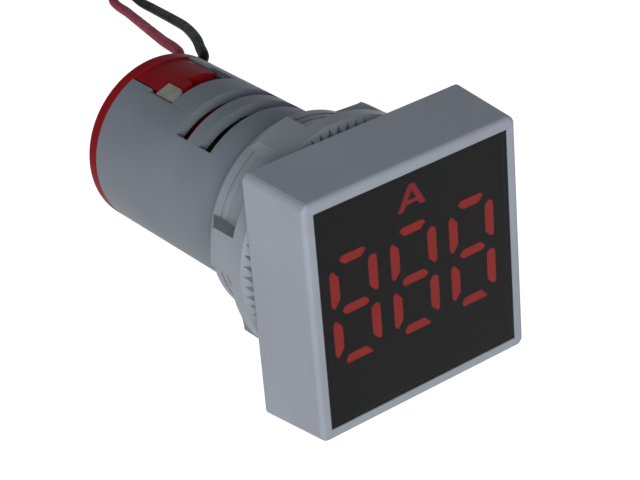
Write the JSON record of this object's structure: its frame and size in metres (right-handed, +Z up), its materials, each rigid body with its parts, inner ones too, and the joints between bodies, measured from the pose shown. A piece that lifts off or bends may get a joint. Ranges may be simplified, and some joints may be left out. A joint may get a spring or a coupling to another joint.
{
  "type": "digital panel meter",
  "caption": "Square digital panel meter with a dark window, round barrel, rear lock nut, screw terminals and two leads, for a 22 mm panel hole.",
  "frame": {"origin": "centre of the bezel's back face, which seats on the panel, on the barrel's axis", "axes": "+Y runs back through the panel along the barrel, +Z is up on the display, +X is to the right seen from the front"},
  "size_m": [0.0849, 0.1335, 0.03],
  "materials": {
    "grey_frame": "fine matt moulding",
    "smoked_window": "gloss, smoked",
    "display_black": "matt",
    "lit_bars": "red, lit from behind",
    "board_green": "solder mask",
    "chip_black": "matt",
    "gold_pins": "bright",
    "film_cap_red": "dipped coat",
    "can_sleeve": "shrunk sleeve",
    "resistor_blue": "lacquer",
    "grey_body": "fine matt moulding",
    "grey_nut": "semi-matt moulding",
    "red_insert": "semi-gloss moulding",
    "brass_contact": "dull plated",
    "tinned_contact": "tinned",
    "clamp_steel": "zinc plated",
    "screw_steel": "bright zinc plated",
    "solder": "dull solder",
    "red_pvc": "soft insulation",
    "black_pvc": "soft insulation",
    "tinned_copper": "tinned strands"
  },
  "bodies": {
    "meter": {"bezel": "grey_frame", "window": "smoked_window", "display_block": "display_black", "digit_left": "lit_bars", "digit_middle": "lit_bars", "digit_right": "lit_bars", "display_board": "board_green", "controller_chip": "chip_black", "header_block": "display_black", "header_pins": "gold_pins", "main_board": "board_green", "film_capacitor": "film_cap_red", "smoothing_capacitor": "can_sleeve", "bridge_rectifier": "chip_black", "fuse_resistor": "resistor_blue", "barrel": "grey_body", "terminal_block": "red_insert", "contact_left": "brass_contact", "contact_right": "tinned_contact", "wire_lugs": "solder", "red_lead": "red_pvc", "black_lead": "black_pvc", "red_tip": "tinned_copper", "black_tip": "tinned_copper"},
    "nut": {"lock_nut": "grey_nut"},
    "clamp_left_plate": {"clamp_left": "clamp_steel"},
    "screw_left_body": {"screw_left": "screw_steel"},
    "clamp_right_plate": {"clamp_right": "clamp_steel"},
    "screw_right_body": {"screw_right": "screw_steel"}
  },
  "joints": [
    {"name": "nut_travel", "type": "slide", "parent": "meter", "child": "nut", "axis": [0, 1, 0], "range_m": [-0.0015, 0.008]},
    {"name": "clamp_left_slide", "type": "slide", "parent": "meter", "child": "clamp_left_plate", "axis": [0, -1, 0], "range_m": [-0.0006, 0.0012]},
    {"name": "screw_left_turn", "type": "hinge", "parent": "clamp_left_plate", "child": "screw_left_body", "pos_m": [-0.0044, 0.0345, 0], "axis": [0, -1, 0], "range_deg": [-432.5, 864.5]},
    {"name": "clamp_right_slide", "type": "slide", "parent": "meter", "child": "clamp_right_plate", "axis": [0, -1, 0], "range_m": [-0.0006, 0.0012]},
    {"name": "screw_right_turn", "type": "hinge", "parent": "clamp_right_plate", "child": "screw_right_body", "pos_m": [0.0044, 0.0345, 0], "axis": [0, -1, 0], "range_deg": [-432.5, 864.5]}
  ],
  "couplings": [
    {"joint": "screw_left_turn", "follows": "clamp_left_slide", "rad_per_m": 12566},
    {"joint": "screw_right_turn", "follows": "clamp_right_slide", "rad_per_m": 12566}
  ]
}
